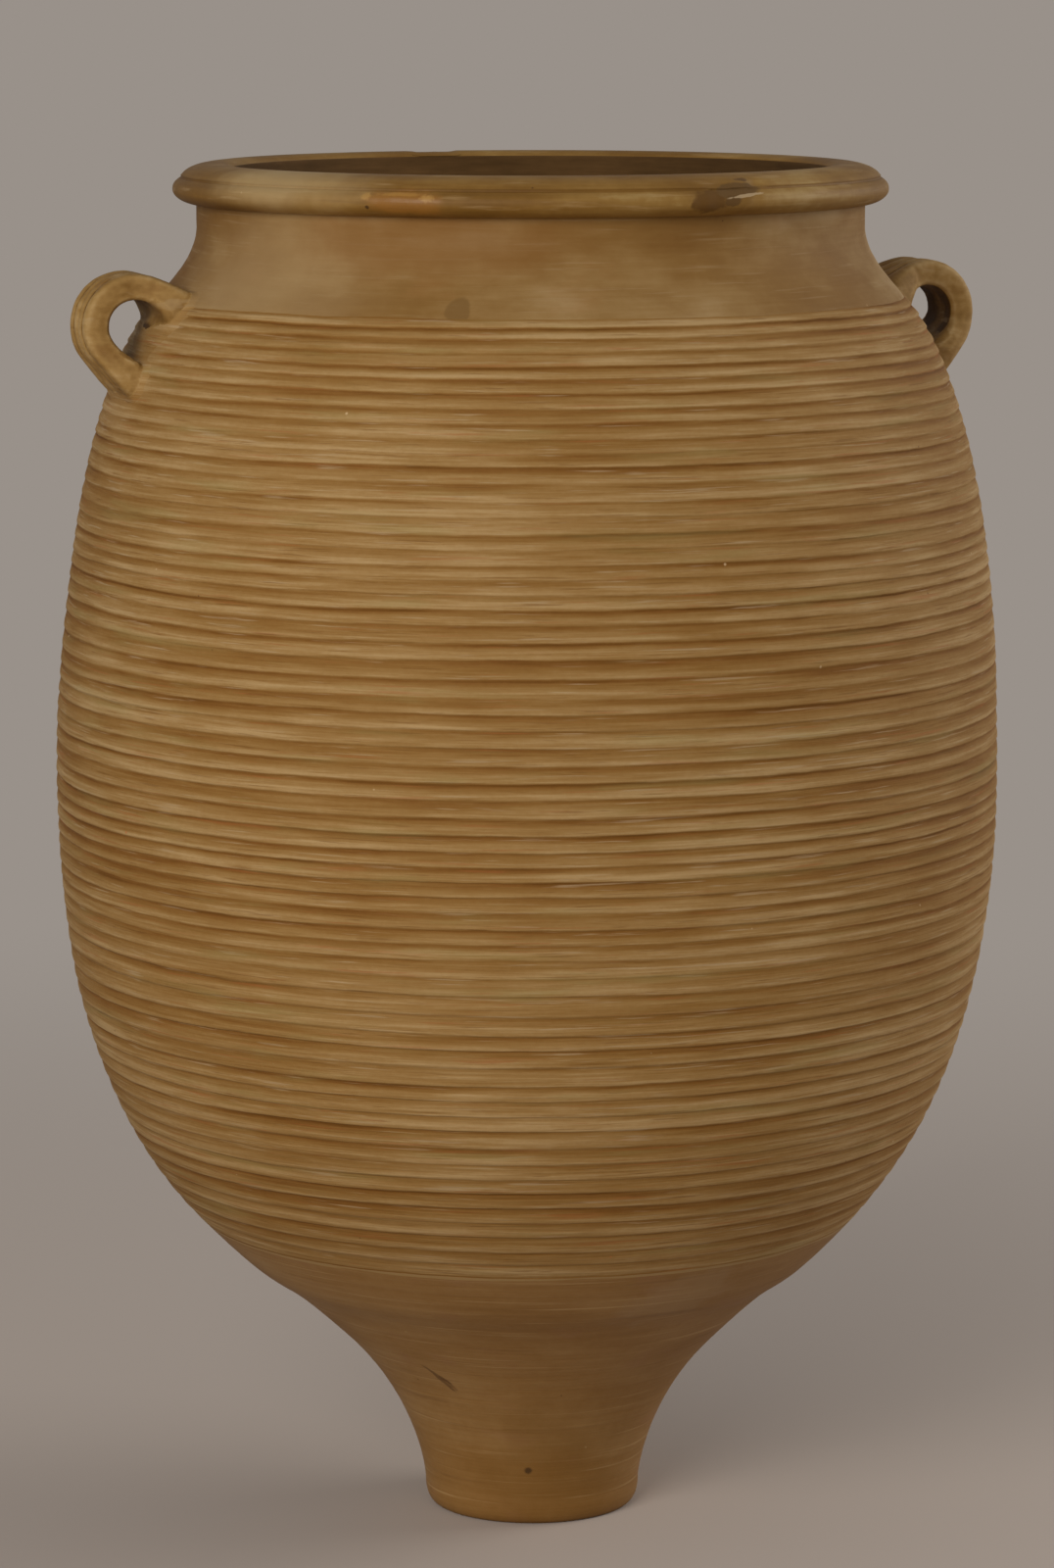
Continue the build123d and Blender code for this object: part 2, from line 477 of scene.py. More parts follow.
def lost(radius, height, angle):
    # how deep the surface is broken away here
    depth = np.zeros(np.broadcast(radius, height, angle).shape)
    for turn, level, wide, tall, deep in losses:
        if np.min(np.abs(height - level)) > tall * chipping["reach"]:
            continue
        off = np.angle(np.exp(1j * (angle - math.radians(turn)))) * radius / wide
        away = np.hypot(off, (height - level) / tall)
        coarse = chipping["ragged"] * np.sin(angle * chipping["teeth"] + level)
        away += coarse + chipping["fineRagged"] * np.sin(angle * chipping["fineTeeth"])
        depth += deep * np.clip((chipping["edge"] - away) / chipping["slope"], 0, 1)
    return depth


def handMade(radius, height, angle):
    # from the ideal radius and height in mm to the real place in metres
    gone = lost(radius, height, angle) * (radius > wall["throat"] + 1)
    radius = radius - gone
    x = radius * np.cos(angle)
    y = radius * np.sin(angle)
    size = made["lumpSize"]
    lumps = np.array([
        noise.noise(Vector((a / size, b / size, c / size))) for a, b, c in zip(x, y, height)
    ])
    lumps = lumps * made["lumpSwing"] + made["lumpMean"]
    unround = made["oval"] * (1 - np.cos(2 * (angle - toRight))) / 2
    unround = unround + made["lump"] * lumps * (height > made["flatBase"])
    shift = drift(height)
    x = x - unround * np.cos(angle) + shift * math.cos(toRight)
    y = y - unround * np.sin(angle) + shift * math.sin(toRight)
    back = -x * math.sin(toRight) + y * math.cos(toRight)
    dip = np.clip((height - made["dipFrom"]) / made["dipRise"], 0, 1) * made["rimDip"] / 2
    z = height - dip * (1 - back / made["rimRadius"])
    z = z - chipping["topLoss"] * gone * (height > chipping["topFrom"])
    return np.stack([x, y, z], axis=-1) * mm


# where the lugs were thumbed on, the grooves are smeared over
thumbed = {
    # height, half width and height of each smear
    "places": [(899, 51, 13), (876, 52, 24), (846, 48, 19)],
    "strength": 0.9,
    "uneven": 0.12,  # how far its edge strays from row to row, and how often per mm
    "often": 0.9,
    "edge": 1.35,
    "blur": 0.6,
}


def smeared(radius, height):
    # 1 where a thumb wiped the grooves away, 0 where they stand
    share = np.zeros(angles.shape)
    uneven = thumbed["uneven"] * np.sin(height * thumbed["often"])
    for level, wide, tall in thumbed["places"]:
        for side in (0.0, math.pi):
            off = np.angle(np.exp(1j * (angles - side))) * radius / wide
            away = np.hypot(off, (height - level) / tall) + uneven
            wiped = np.clip((thumbed["edge"] - away) / thumbed["blur"], 0, 1)
            share = np.maximum(share, wiped)
    return share


def scraped(depth, flats, step, count):
    # the faint level flats of a scraper, which leave a stretch's two ends alone
    return depth * addNoise(0.5, flats, step) * (0 < step < count)


wheel = {"cent": (0, 0, 0), "axis": (0, 0, 1)}  # the axis that the jar was turned on


class Rows:
    # the rows of a wall section in order, each a ring of places round the jar
    def __init__(self):
        self.rings = []

    def add(self, radius, height, crest=0.8, cut=0.0, inner=False):
        ring = [np.broadcast_to(value, angles.shape) for value in (radius, height, crest, cut)]
        self.rings.append((*ring, inner))

    def outside(self, spot, wave=0.0, cut=0.0, drag=0.0, stain=0.0):
        radius, height = wallLine.at(spot)
        across, up = wallLine.inward(spot)
        kept = 1 - thumbed["strength"] * smeared(radius, height)
        depth = (wave + cut + drag) * kept
        crest = 1 - stain * kept
        cut = cut * kept / grooves["cut"]
        self.add(radius + across * depth, height + up * depth, crest, cut)

    def inside(self, spot):
        # the inner skin keeps the soft finger rings of the building up
        radius, height = wallLine.at(spot)
        across, up = wallLine.inward(spot)
        depth = wall["thickness"]
        for deep, apart in wall["fingers"]:
            depth = depth + deep * np.sin(spot / apart)
        rise = wall["seamRise"]
        radius = radius + across * depth + up * rise
        self.add(radius, height + up * depth - across * rise, inner=True)

    def grooved(self, first, last):
        for number in range(first, last):
            low, high = valleys[number], valleys[number + 1]
            below, above = stains[number], stains[number + 1]
            for row, (share, wave, cut) in enumerate(ridge):
                drag = grooves["drag"] * (scratches(number, row) + grooves["dragMean"])
                if share < grooves["crest"]:
                    stain = below[0] * wave
                else:
                    stain = above[0] * wave ** above[1]
                self.outside(
                    low + (high - low) * share,
                    wave * (waves[number] * (1 - share) + waves[number + 1] * share),
                    cut * (cuts[number] * (1 - share) + cuts[number + 1] * share),
                    drag * (row > 0),
                    stain,
                )
        self.outside(valleys[last], waves[last], cuts[last], stain=stains[last][0])

    def insideRun(self, top, bottom):
        count = max(2, int(round((top - bottom) / wall["insideStep"])))
        for spot in np.linspace(top, bottom, count + 1):
            self.inside(spot)

    def plainRun(self, start, end, lastWave=0.0):
        count = int(round((np.mean(end) - np.mean(start)) / wall["plainStep"]))
        for step in range(count):
            drag = scraped(wall["scrape"], wall["flats"], step, count)
            self.outside(start + (end - start) * (step / count), drag=drag)
        self.outside(end, lastWave)


def turnedPiece(name, rows, skins, closed=True):
    # the section is turned once round the axis, then every corner goes to its own place
    radii, heights, crests, cutShares, inner = zip(*rows.rings)
    bm = bmesh.new()
    rowLayer = bm.verts.layers.int.new("row")
    crestLayer = bm.verts.layers.float.new("crest")
    cutLayer = bm.verts.layers.float.new("cut")
    chain = []
    for number, (radius, height) in enumerate(zip(radii, heights)):
        corner = bm.verts.new((radius[0] * mm, 0.0, height[0] * mm))
        corner[rowLayer] = number
        chain.append(corner)
    edges = [bm.edges.new(pair) for pair in zip(chain, chain[1:])]
    if closed:
        edges.append(bm.edges.new((chain[-1], chain[0])))
    # one wedge is spun and then copied round, which is far quicker than one long spin
    part = 2 * math.pi / grooves["wedges"]
    steps = grooves["around"] // grooves["wedges"]
    bmesh.ops.spin(bm, geom=chain + edges, angle=part, steps=steps, **wheel)
    wedge = bm.verts[:] + bm.edges[:] + bm.faces[:]
    copies = grooves["wedges"] - 1
    bmesh.ops.spin(bm, geom=wedge, angle=part * copies, steps=copies, use_duplicate=True, **wheel)
    places = [handMade(r, h, angles) for r, h in zip(radii, heights)]
    count = grooves["around"]
    for corner in bm.verts:
        number = corner[rowLayer]
        turn = math.atan2(corner.co.y, corner.co.x)
        step = int(round(turn / (2 * math.pi) * count)) % count
        corner.co = places[number][step]
        corner[crestLayer] = crests[number][step]
        corner[cutLayer] = cutShares[number][step]
    for face in bm.faces:
        deep = all(inner[corner[rowLayer]] for corner in face.verts)
        face.material_index = 1 if deep else 0
    bmesh.ops.remove_doubles(bm, verts=bm.verts, dist=0.01 * mm)
    bmesh.ops.recalc_face_normals(bm, faces=bm.faces)
    return finishPiece(bm, name, skins)


sharpFold = 55.0  # degrees; a fold sharper than this shows as an edge


def finishPiece(bm, name, skins):
    mesh = bpy.data.meshes.new(name)
    bm.to_mesh(mesh)
    bm.free()
    for skin in skins:
        mesh.materials.append(skin)
    mesh.shade_smooth()
    mesh.set_sharp_from_angle(angle=math.radians(sharpFold))
    piece = bpy.data.objects.new(name, mesh)
    bpy.context.scene.collection.objects.link(piece)
    return piece


def standFor(piece, node):
    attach(piece, "root")
    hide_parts(node)


# raw earthenware: the inside was left as the fingers built it, dry; its dark tones are partly the
# raw clay and partly painted shade
insideLook = {
    "name": "raw earthenware",
    "patterns": [(160, 60, 1, 1), (60, 6, 2, 0.5), (12, 6, 3, 0.2)],
    "span": (0.55, 1.15),
    "tones": [(0, "#3E290F"), (0.5, "#4F3719"), (1, "#634726")],
    "rough": 0.9,
    "relief": [(60, 6, 2, 0.6), (6, 3, 3, 0.15)],
}

# burnished earthenware: the lower wall and foot were rubbed with a smooth stone, which
# leaves a close brown skin with a faint sheen and level strokes
lowerLook = {
    "name": "burnished earthenware",
    "patterns": [(200, 90, 1, 1.1), (130, 5, 2, 0.35), (70, 2.2, 3, 0.2), (7, 7, 4, 0.2)],
    "span": (0.6, 1.25),
    "tones": [(0, "#7C5624"), (0.5, "#8B6636"), (1, "#9C7A4C")],
    "washes": [
        ("#AC8C5E", 170, 2.4, 11, 0.61, 0.71, 0.6),  # strokes where the skin is thin
        ("#64401A", 140, 6, 12, 0.6, 0.72, 0.3),
        ("#8E6448", 60, 40, 13, 0.55, 0.7, 0.25),
    ],
    "specks": [("#4A2C10", 34, 0.9, 0.3), ("#B09468", 46, 1.1, 0.7)],
    "slipEdge": ("#A08253", 225.7, 5),
    "rough": 0.62,
    "relief": [(130, 5, 2, 0.3), (70, 2.2, 3, 0.15), (4, 4, 5, 0.06)],
    "marks": [
        (221, (128, 123), (19, 1.5, 14), 7, "#4E3014", 0.6, {"slant": -41}),
        (222.4, (124, 116), (13, 1.5, 14), 6, "#4E3014", 0.6, {"slant": -52}),
        (223.9, (124, 116), (9, 2.2, 14), 4, "#573717", 0.5, {"slant": -48}),
        # painted shade: a broad darker patch on the front of the foot
        (266, (90, 52), (52, 56, 60), 40, "#6C470F", 0.5, {"soft": 0.7}),
        (281, (222, 200), (46, 22, 60), 16, "#A08664", 0.28, {"slant": 24, "soft": 0.4}),
        (252.5, (85, 43.5), (3.2, 2.9, 4), 9, "#33200D", 0.75, {"soft": 0.35}),
    ],
}

# the foot: a flat cut base with a rubbed edge, hollow above a thick floor
foot = {
    "baseRadii": (24, 48, 66),  # rows across its underside
    "edgeTop": 15,  # height where the rubbed edge ends
    "edgeRows": 9,
    "wellRadius": 40,
    "wellHeight": 50,
}


def makeFoot(skins):
    rows = Rows()
    seam = wallLine.where(wall["footSeam"])
    rows.add(0.0, 0.0)
    for radius in foot["baseRadii"]:
        rows.add(radius, 0.0)
    edgeTop = wallLine.where(foot["edgeTop"])
    for spot in np.linspace(0, edgeTop, foot["edgeRows"] + 1)[:-1]:
        rows.outside(spot)
    rows.plainRun(edgeTop, seam)
    rows.inside(seam)
    rows.add(foot["wellRadius"], foot["wellHeight"], inner=True)
    rows.add(0.0, foot["wellHeight"], inner=True)
    standFor(turnedPiece("turned_foot", rows, skins, closed=False), "foot")


def makeLowerWall(skins):
    rows = Rows()
    seam = wallLine.where(wall["footSeam"])
    rows.plainRun(seam, valleys[0], waves[0])
    rows.insideRun(wallLine.where(grooves["low"]), seam)
    standFor(turnedPiece("smooth_lower_wall", rows, skins), "lower_wall")


# slipped earthenware, brushed on the wheel: pale slip stays on the ridges, the red clay
# shows in the valleys, and the brush leaves level streaks that start and stop
bellyLook = {
    "name": "brushed slip on earthenware",
    "patterns": [
        (120, 3.2, 1, 0.85),  # long bristle streaks
        (45, 1.7, 2, 0.65),  # short ones
        (220, 13, 3, 0.75),  # whole strokes
        (160, 160, 4, 0.7),  # thicker and thinner places
        (5, 2.5, 5, 0.2),
    ],
    "carried": [("crest", 0.62), ("cut", -0.25)],
    "span": (1.2, 2.45),
    "tones": [
        (0, "#6C4510"),  # bottom of a cut line
        (0.2, "#7A511D"),  # bare clay in a valley
        (0.48, "#87622E"),
        (0.74, "#967443"),  # thin slip
        (1, "#AC8E61"),  # thick slip on a crest
    ],
    "washes": [
        ("#97582A", 80, 2.6, 21, 0.6, 0.72, 0.4),  # orange where the slip was dragged off
        ("#AE9674", 60, 2, 22, 0.6, 0.72, 0.5),  # pale pinkish grey runs of slip
        ("#6A4314", 50, 1.5, 23, 0.61, 0.7, 0.45),  # thin dark scratches
        ("#8C8450", 130, 12, 24, 0.55, 0.75, 0.25),
    ],
    "specks": [("#C4A880", 42, 1.2, 0.4), ("#5A3A18", 38, 0.9, 0.9), ("#B06A3C", 70, 1.5, 1.7)],
    "rough": 0.8,
    "relief": [(120, 3.2, 1, 0.55), (45, 1.7, 2, 0.25), (50, 1.5, 23, -0.25), (3, 3, 6, 0.1)],
}


def makeRing(name, number, skins):
    first, last = ringEnds[number], ringEnds[number + 1]
    rows = Rows()
    rows.grooved(first, last)
    rows.insideRun(valleys[last].mean(), valleys[first].mean())
    standFor(turnedPiece("ridged_" + name, rows, skins), name)


# wiped earthenware: the collar was rubbed with a wet cloth, so thin slip lies on it in
# clouds, with faint level wiping marks
neckLook = {
    "name": "wiped slip on earthenware",
    "patterns": [(150, 70, 7, 1.6), (80, 14, 2, 0.35), (60, 3, 3, 0.2), (8, 5, 4, 0.15)],
    "span": (0.8, 1.5),
    "tones": [(0, "#74501F"), (0.4, "#82602F"), (0.7, "#917244"), (1, "#A1855B")],
    "washes": [
        ("#A9906C", 70, 2.2, 31, 0.57, 0.7, 0.22),
        ("#7A5523", 70, 22, 32, 0.54, 0.7, 0.35),
        ("#956A3C", 60, 30, 33, 0.58, 0.72, 0.2),
    ],
    "specks": [("#4E3214", 40, 1, 0.2), ("#B89C74", 50, 1.2, 0.8)],
    "rough": 0.72,
    "relief": [(80, 14, 2, 0.4), (60, 3, 3, 0.18), (3, 3, 5, 0.07)],
    "marks": [
        # painted light: a pale patch on the left front of the neck, the side the lamp falls on
        (205, (255, 920), (90, 50, 80), 60, "#A68C64", 0.5, {"soft": 0.7}),
        # painted shade: a darker band just under the rim's overhang
        (236, (246, 952), (110, 24, 80), 40, "#7A511D", 0.6, {"soft": 0.45}),
        (242, (267, 909), (8.5, 10.5, 14), 24, "#6E5026", 0.6, {}),
    ],
}
neck = {
    "fade": 14,  # how fast the last groove's wave dies away above it
    "lineStain": 0.8,
    "scrape": 0.15,  # depth and noise of the wiping marks
    "flats": [(5, 0.6, 43, 1)],
    "throatMiddle": 962,
}


def makeNeck(skins):
    rows = Rows()
    start, end = valleys[-1], wallLine.length
    count = int(round((end - start.mean()) / wall["plainStep"]))
    for step in range(count + 1):
        share = step / count
        rows.outside(
            start + (end - start) * share,
            waves[-1] * (1 - share) ** neck["fade"],
            cuts[-1] * (step == 0),
            scraped(neck["scrape"], neck["flats"], step, count),
            neck["lineStain"] * (step == 0),
        )
    for height in (wall["throatTop"], neck["throatMiddle"], wall["throatBottom"]):
        rows.add(wall["throat"], height, inner=True)
    rows.inside(start.mean())
    standFor(turnedPiece("wiped_neck", rows, skins), "neck")


# the rim: a rolled nose, a line cut round its shoulder, a gently domed top; handling has
# rubbed it darker and a little shiny
rim = {
    "nose": [
        ((243, 971), (1, -0.05), 0, 8),
        ((260, 981.3), (0, 1), 6, 4.5),
        ((255, 989.4), (-0.8, 0.6), 3.5, 0),
    ],
    "noseSteps": 14,
    "line": [(254.2, 989.5), (253.7, 990.4), (254, 991.4)],
    "lineCut": 0.6,  # how dark that line is, and how little slip is left in it
    "lineCrest": 0.1,
    "top": [
        ((253.2, 992.2), (-0.6, 0.8), 0, 5),
        ((231, 1000), (-1, 0), 12, 5),
        ((218.5, 997.6), (-0.8, -0.6), 5, 1),
        ((217, 994.5), (0, -1), 1.5, 0),
    ],
    "topSteps": 10,
    "throatMiddle": 987,
}
rimLook = {
    "name": "rubbed earthenware",
    "patterns": [(120, 60, 5, 1.3), (100, 6, 2, 0.4), (60, 2, 3, 0.25), (7, 7, 4, 0.2)],
    "carried": [("cut", -0.35)],
    "span": (0.72, 1.42),
    "tones": [(0, "#644411"), (0.4, "#775520"), (0.75, "#896832"), (1, "#A08552")],
    "washes": [
        ("#A88C62", 60, 5, 41, 0.58, 0.7, 0.35),
        ("#664314", 70, 6, 42, 0.57, 0.7, 0.35),
    ],
    "specks": [("#46290C", 30, 1, 0.5), ("#BFA47A", 36, 1.2, 0.1)],
    "rough": 0.6,
    "relief": [(100, 6, 2, 0.3), (60, 2, 3, 0.15), (5, 5, 5, 0.12)],
    "marks": [
        # painted highlight: a pale patch on the left front of the rim, where the lamp catches it
        (208, (250, 990), (70, 16, 50), 40, "#AE966C", 0.6, {"soft": 0.7}),
        (284, (257, 983), (27, 10, 16), 16, "#735322", 0.65, {"rough": 0.8}),
        (286.8, (256, 987.5), (20, 6.5, 11), 16, "#5E4524", 0.9, {"slant": 8, "rough": 0.85}),
        (280.8, (258, 980), (15, 8, 12), 9, "#5C3E14", 0.9, {"slant": 10}),
        (284.9, (259, 980), (9, 4.2, 10), 8, "#573D1A", 0.85, {"slant": 18}),
        # painted highlight: a thin pale line along the chip
        (287.5, (259, 983.4), (16, 1.2, 7), 9, "#B39C7A", 0.7, {"slant": 6}),
        (288.2, (251, 994.5), (6.5, 1.7, 5), 6, "#54391A", 0.75, {}),
        (233, (259, 980), (27, 10, 14), 20, "#8F5F26", 0.6, {"soft": 0.3, "rough": 0.36}),
        # painted highlights: pale gold glints along the top of the glossy patch
        (232, (258.5, 985.5), (16, 1.4, 9), 5, "#AA7F3C", 0.5, {"soft": 0.4}),
        (236.6, (258.5, 983), (5, 2.6, 9), 2.5, "#B48C4C", 0.5, {"soft": 0.4}),
        (226.5, (258.5, 984), (4, 3, 9), 2.5, "#B48C4C", 0.5, {"soft": 0.4}),
        (226.8, (259, 976.5), (1.7, 1.5, 8), 4, "#3A230C", 0.8, {}),
    ],
}


def makeRim(skins):
    rows = Rows()
    for radius, height in curveThrough(rim["nose"], rim["noseSteps"]):
        rows.add(radius, height)
    for radius, height in rim["line"]:
        rows.add(radius, height, rim["lineCrest"], rim["lineCut"])
    for radius, height in curveThrough(rim["top"], rim["topSteps"]):
        rows.add(radius, height, inner=radius < wall["throat"] + 0.5)
    rows.add(wall["throat"], rim["throatMiddle"], inner=True)
    rows.add(wall["throat"], wall["throatTop"], inner=True)
    standFor(turnedPiece("rolled_rim", rows, skins), "rim")


# the lugs: a ribbed strap bent into a ring, spread and thumbed on at both roots
lug = {
    "reach": 301.3,  # middle of the ring, from the jar's axis
    "height": 886.5,
    "radius": 38,
    "thickness": 18.4,
    "width": 50,
    "ribs": 4,
    "ribDepth": 2.6,
    "ribSteps": 10,
    "ribFullness": 0.6,  # below 1 the ribs are full and the hollows between them narrow
    "corner": 2.2,
    "bulge": 1,  # the strap's edges bow out this much
    "hollow": 0.8,  # and its inner face in
    "upperTurn": 24,  # degrees from the ring's top, in to the neck
    "lowerTurn": 130,  # and out and down to the shoulder
    "ringSteps": 44,
    "upperArm": 32,  # the straight ends that run on into the wall
    "lowerArm": 38,
    "armSteps": 6,
    # how much wider the strap grows round the ring, from the upper root to the lower one
    "flareTurns": (-80, -55, -20, 10, 100, 135, 180),
    "flareGrowth": (1, 0.7, 0.15, 0, 0, 0.3, 0.55),
    # how far the strap thickens on its inner face as it runs into each root
    "upperWeb": 9.5,
    "lowerWeb": 4,
    "webRun": (1, 21),  # from here to here along each arm
    "voxel": 1.2,
    "smoothing": [(15, 3), (10, 14), (6.5, 70)],  # so near to the wall, so many passes
    "eyeEdge": 4,  # and so near to the eye, out to here from the wall
    "eyeReach": 24,
    "eyePasses": 30,
    "lump": 0.45,
    "lumpSize": 16,
    "fineLumpSize": 5,
    "fineLump": 0.4,
}
strapMiddle = lug["radius"] - lug["thickness"] / 2
eyeCentre = Vector((lug["reach"], 0.0, lug["height"])) * mm

# clay laid along the wall under both roots, a little below its skin
bed = {
    "low": 822,
    "high": 924,
    "turn": 13,  # half its way round the jar, in degrees
    "thickness": 13,
    "rows": 34,
    "steps": 36,
    "sunk": 1.1,  # how far its skin lies below the wall's, and how much more at its edges
    "edgeSunk": 3.2,
    "lump": 0.9,
    "lumpSize": 11,
    # where it swells out to meet the strap: height, half width and height, swell
    "swells": [(889, 56, 15, 5.5), (847, 44, 15, 4.5)],
    "swellFall": 1.2,
}
# smoothed earthenware: wet fingers drew the strap out and left it close and dull; painted
# shade darkens the hollows between its ribs and the inner face of its eye
lugLook = {
    "name": "smoothed earthenware",
    "patterns": [(60, 50, 5, 1.2), (30, 9, 2, 0.5), (12, 3, 3, 0.25), (4, 4, 4, 0.25)],
    # on the lug, crest and cut carry painted shade: dark in the rib hollows and on the eye's
    # inner face, paler on bulges
    "carried": [("crest", 0.9), ("cut", -1)],
    "span": (1, 2.05),
    "tones": [(0, "#4E340F"), (0.3, "#785726"), (0.65, "#967541"), (1, "#B09364")],
    "washes": [
        ("#A88E66", 30, 8, 51, 0.58, 0.7, 0.35),
        ("#7A5523", 30, 16, 52, 0.55, 0.7, 0.45),
    ],
    "specks": [("#4A3012", 18, 0.8, 0.5)],
    "rough": 0.72,
    "relief": [(30, 9, 2, 0.35), (9, 3, 6, 0.25), (2.5, 2.5, 5, 0.1)],
}
# how the lug's tone follows its shape: painted shade darkens its dips, the hollows between its
# ribs and its eye's inner face, and its bulges stay paler
lugTone = {
    "passes": 10,  # a hollow or an edge is told by how far so many passes would move it
    "flat": 0.5,  # tone of a flat place
    "hollowGain": 2.5,
    "hollowFrom": 0.2,
    "ribsFrom": 9,  # hollows between ribs lie further outside the eye than this
    "eyeShadeReach": 0.8,  # painted shade darkens the ring's inner face, up to here outside the eye
    "eyeHalf": 23.5,  # half its width, and how it blurs there and towards the wall
    "eyeBlur": 2,
    "wallBlur": 14,
    "wallFrom": 3.5,  # nearer to the wall the clay is as plain as the wall's
    "wallTone": 0.7,
    "skinFrom": 3.2,  # and nearer still it is smeared out and has the wall's finish
    "neckFrom": 902,  # the neck's above this height
}


def edgesIn(parts):
    return [part for part in parts if isinstance(part, bmesh.types.BMEdge)]


def closedLoop(bm, chain):
    return [bm.edges.new(pair) for pair in zip(chain, chain[1:] + chain[:1])]


def shareOf(value):
    return min(max(value, 0.0), 1.0)


def strapSection():
    # across the strap: along its width, then outwards; scalloped ribs on the outer face
    half = lug["width"] / 2
    thick = lug["thickness"] / 2
    corner = lug["corner"]
    bulge = lug["bulge"]
    section = []
    steps = lug["ribs"] * lug["ribSteps"]
    for step in range(steps + 1):
        share = step / steps
        swell = abs(math.sin(math.pi * share * lug["ribs"])) ** lug["ribFullness"]
        section.append((half * (2 * share - 1), thick - lug["ribDepth"] * (1 - swell)))
    edge = [
        (half + 0.6 * bulge, thick - lug["ribDepth"] - corner),
        (half + bulge, 0.0),
        (half + 0.4 * bulge, corner - thick),
        (half - corner, -thick),
    ]
    section += edge
    section.append((0.0, lug["hollow"] - thick))
    section += [(-across, outward) for across, outward in reversed(edge)]
    return section


def growArm(bm, loop, along, length):
    # draws the open end of the strap straight on into the wall and closes it
    step = length / lug["armSteps"]
    for _ in range(lug["armSteps"]):
        grown = bmesh.ops.extrude_edge_only(bm, edges=loop)["geom"]
        corners = [part for part in grown if isinstance(part, bmesh.types.BMVert)]
        known = set(corners)
        loop = [edge for edge in edgesIn(grown) if known.issuperset(edge.verts)]
        bmesh.ops.translate(bm, vec=along * (step * mm), verts=corners)
    bmesh.ops.edgeloop_fill(bm, edges=loop)


def alongStrap(turn):
    angle = math.radians(turn)
    return Vector((math.cos(angle), 0.0, -math.sin(angle)))


def bendStrap(bm):
    # the section is turned round the eye, and both ends run on into the wall, ever wider
    chain = []
    for across, outward in strapSection():
        place = Vector((0.0, across, strapMiddle + outward)) * mm
        chain.append(bm.verts.new(eyeCentre + place))
    first = closedLoop(bm, chain)
    start = Matrix.Rotation(math.radians(-lug["upperTurn"]), 3, "Y")
    bmesh.ops.rotate(bm, cent=eyeCentre, matrix=start, verts=chain)
    whole = math.radians(lug["upperTurn"] + lug["lowerTurn"])
    ring = {"cent": eyeCentre, "axis": (0, 1, 0), "angle": whole, "steps": lug["ringSteps"]}
    turned = bmesh.ops.spin(bm, geom=chain + first, **ring)
    growArm(bm, first, -alongStrap(-lug["upperTurn"]), lug["upperArm"])
    growArm(bm, edgesIn(turned["geom_last"]), alongStrap(lug["lowerTurn"]), lug["lowerArm"])
    for corner in bm.verts:
        away = corner.co - eyeCentre
        turn = math.degrees(math.atan2(away.x, away.z))
        turn += 360.0 * (turn < -100.0)
        corner.co.y *= 1 + float(np.interp(turn, lug["flareTurns"], lug["flareGrowth"]))


def thickenRoot(bm, turn, way, web):
    # the inner face of the strap swings in to the wall, so the eye between them is round
    angle = math.radians(turn)
    outward = Vector((math.sin(angle), 0.0, math.cos(angle)))
    for corner in bm.verts:
        away = (corner.co - eyeCentre) / mm
        if away.z * math.cos(angle) < 0:
            continue
        inner = shareOf((strapMiddle - away.dot(outward)) / (lug["thickness"] / 2))
        along = way * away.dot(alongStrap(turn))
        share = float(np.interp(along, lug["webRun"], (0.0, 1.0)))
        corner.co -= outward * (web * inner * share * share * (3 - 2 * share) * mm)


def bedPoint(spot, depth):
    radius, height = wallLine.at(spot)
    across, up = wallLine.inward(spot)
    return Vector((radius + across * depth, 0.0, height + up * depth)) * mm


def layBed(bm):
    onSkin = bm.verts.layers.int["skin"]
    low, high, turn = bed["low"], bed["high"], bed["turn"]
    start, end = wallLine.where(low), wallLine.where(high)
    skinRow = [bm.verts.new(bedPoint(s, 0.0)) for s in np.linspace(start, end, bed["rows"])]
    backRow = [bm.verts.new(bedPoint(s, bed["thickness"])) for s in (end, start)]
    for corner in skinRow:
        corner[onSkin] = 1
    chain = skinRow + backRow
    first = closedLoop(bm, chain)
    lean = Matrix.Rotation(math.radians(-turn), 3, "Z")
    bmesh.ops.rotate(bm, cent=(0, 0, 0), matrix=lean, verts=chain)
    whole = math.radians(2 * turn)
    spun = bmesh.ops.spin(bm, geom=chain + first, angle=whole, steps=bed["steps"], **wheel)
    bmesh.ops.edgeloop_fill(bm, edges=first)
    bmesh.ops.edgeloop_fill(bm, edges=edgesIn(spun["geom_last"]))
    for corner in bm.verts:
        if not corner[onSkin]:
            continue
        height = corner.co.z / mm
        aside = math.atan2(corner.co.y, corner.co.x) / math.radians(turn)
        aloft = (2 * height - low - high) / (high - low)
        depth = bed["sunk"] + bed["edgeSunk"] * max(abs(aside), abs(aloft)) ** 3
        depth += bed["lump"] * noise.noise(corner.co / mm / bed["lumpSize"])
        for level, wide, tall, swell in bed["swells"]:
            away = (corner.co.y / mm / wide) ** 2 + ((height - level) / tall) ** 2
            depth -= swell * math.exp(-away * bed["swellFall"])
        outward = Vector((corner.co.x, corner.co.y, 0.0)).normalized()
        corner.co -= outward * (depth * mm)


def outOfWall(corner):
    # how far a corner of the lug stands out from the wall's outline, in mm
    radius = math.hypot(corner.co.x, corner.co.y) / mm
    height = corner.co.z / mm
    return radius - float(np.interp(height, wallLine.chain[:, 1], wallLine.chain[:, 0]))


def outOfEye(place):
    # how far a place lies outside the round eye of the lug, in mm
    return (place - eyeCentre).xz.length / mm - lug["radius"] + lug["thickness"]


def smoothed(bm, corners, times):
    axes = {"use_axis_x": True, "use_axis_y": True, "use_axis_z": True}
    for _ in range(times):
        bmesh.ops.smooth_vert(bm, verts=corners, factor=0.5, **axes)


